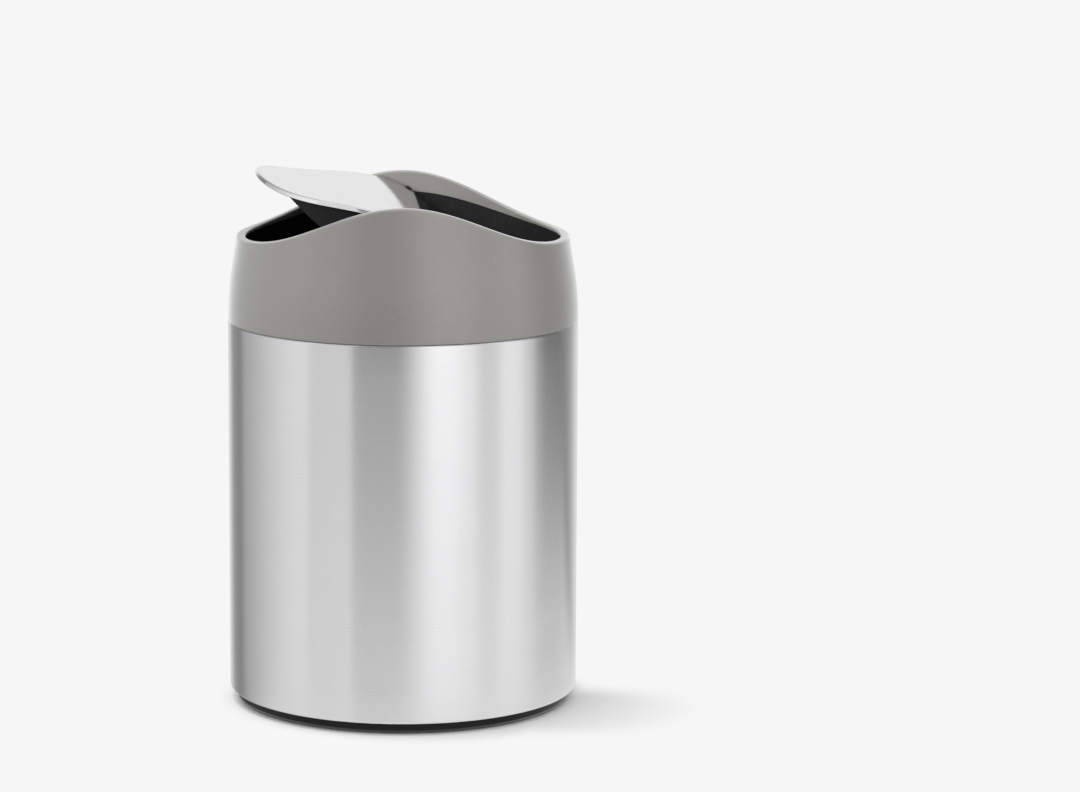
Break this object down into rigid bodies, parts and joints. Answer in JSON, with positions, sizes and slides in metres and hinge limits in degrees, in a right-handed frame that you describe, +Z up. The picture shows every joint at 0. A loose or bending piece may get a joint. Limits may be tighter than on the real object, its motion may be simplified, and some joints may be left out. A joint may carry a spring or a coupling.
{
  "type": "push top countertop bin",
  "caption": "Small round countertop bin: brushed steel body, grey wavy lift-off collar, black foot and a polished see-saw lid that opens when either wing is pushed.",
  "frame": {"origin": "centre of the foot, on the surface that the bin stands on", "axes": "+Z up; +Y from front to back along the lid's pins; +X from the raised wing of the lid to the pressed wing"},
  "size_m": [0.122, 0.122, 0.1873],
  "materials": {
    "brushed_body": "brushed round the body",
    "polished_lid": "mirror polished stainless steel",
    "grey_collar": "fine matte moulding, warm grey",
    "black_moulding": "satin black moulding",
    "soft_rubber": "matte",
    "white_bush": "natural acetal",
    "screw_steel": "bright zinc",
    "spring_steel": "dark oiled",
    "raw_steel": "sawn bar"
  },
  "bodies": {
    "can": {"body_sleeve": "brushed_body", "inner_can": "black_moulding", "base_cap": "black_moulding", "base_screws": "screw_steel", "grip_ring": "soft_rubber"},
    "collar": {"collar_shell": "grey_collar", "inner_ring": "black_moulding", "seal_ring": "soft_rubber", "pivot_bush_front": "white_bush", "pivot_bush_rear": "white_bush", "stop_bumper_front": "soft_rubber", "stop_bumper_rear": "soft_rubber"},
    "push_lid": {"lid_skin": "polished_lid", "lid_belly": "black_moulding", "counterweight": "raw_steel", "weight_screws": "screw_steel", "stud_nuts": "screw_steel", "pivot_pin_front": "screw_steel", "pivot_pin_rear": "screw_steel", "pin_clip_front": "spring_steel", "pin_clip_rear": "spring_steel"}
  },
  "joints": [
    {"name": "collar_lift", "type": "slide", "parent": "can", "child": "collar", "axis": [0, 0, 1], "range_m": [0, 0.05]},
    {"name": "lid_swing", "type": "hinge", "parent": "collar", "child": "push_lid", "pos_m": [0, 0, 0.1706], "axis": [0, 1, 0], "range_deg": [-71.5, 8.5]}
  ]
}
